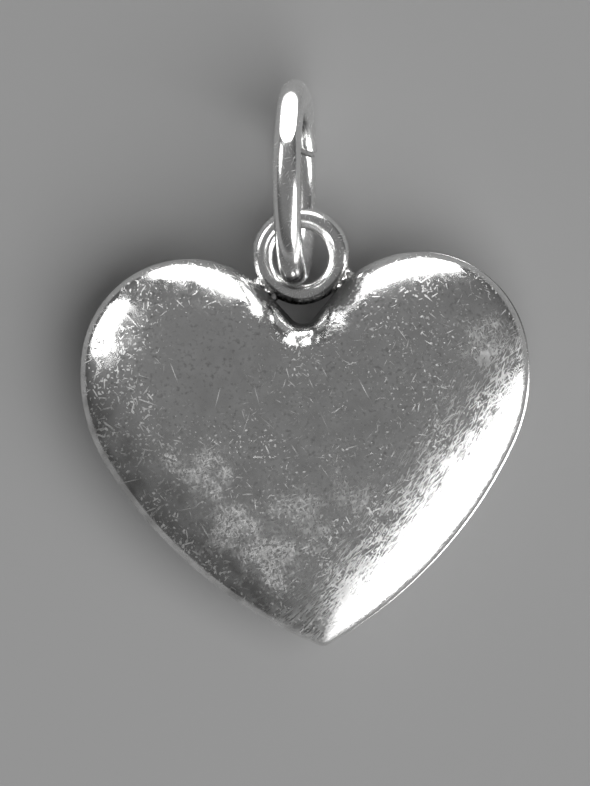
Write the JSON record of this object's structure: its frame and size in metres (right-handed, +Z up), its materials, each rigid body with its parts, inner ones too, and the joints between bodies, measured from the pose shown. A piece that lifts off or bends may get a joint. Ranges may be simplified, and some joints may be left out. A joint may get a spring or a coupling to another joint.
{
  "type": "puffed heart charm",
  "caption": "Hollow puffed heart charm of two soldered domed shells, with a wire eyelet in the cleft and an open jump ring that swings round it to hang the charm.",
  "frame": {"origin": "on the surface that the charm lies on, below the middle of its footprint", "axes": "+X to the right of the heart seen from the front, +Y from the point of the heart towards the jump ring, +Z up out of the front face"},
  "size_m": [0.0166, 0.021, 0.0076],
  "materials": {
    "silver_shell": "polished silver sheet with fine handling scratches",
    "silver_wire": "polished silver wire with fine scratches",
    "silver_solder": "silver solder, slightly duller than the sheet"
  },
  "bodies": {
    "heart": {"front_shell": "silver_shell", "back_shell": "silver_shell", "seam_solder": "silver_solder", "eyelet_ring": "silver_wire", "eyelet_solder_left": "silver_solder", "eyelet_solder_right": "silver_solder"},
    "jump_ring": {"jump_ring": "silver_wire"}
  },
  "joints": [
    {"name": "ring_swing", "type": "hinge", "parent": "heart", "child": "jump_ring", "pos_m": [0, 0.00396, 0.0025], "axis": [0, 0, 1], "range_deg": [-80, 84]}
  ]
}
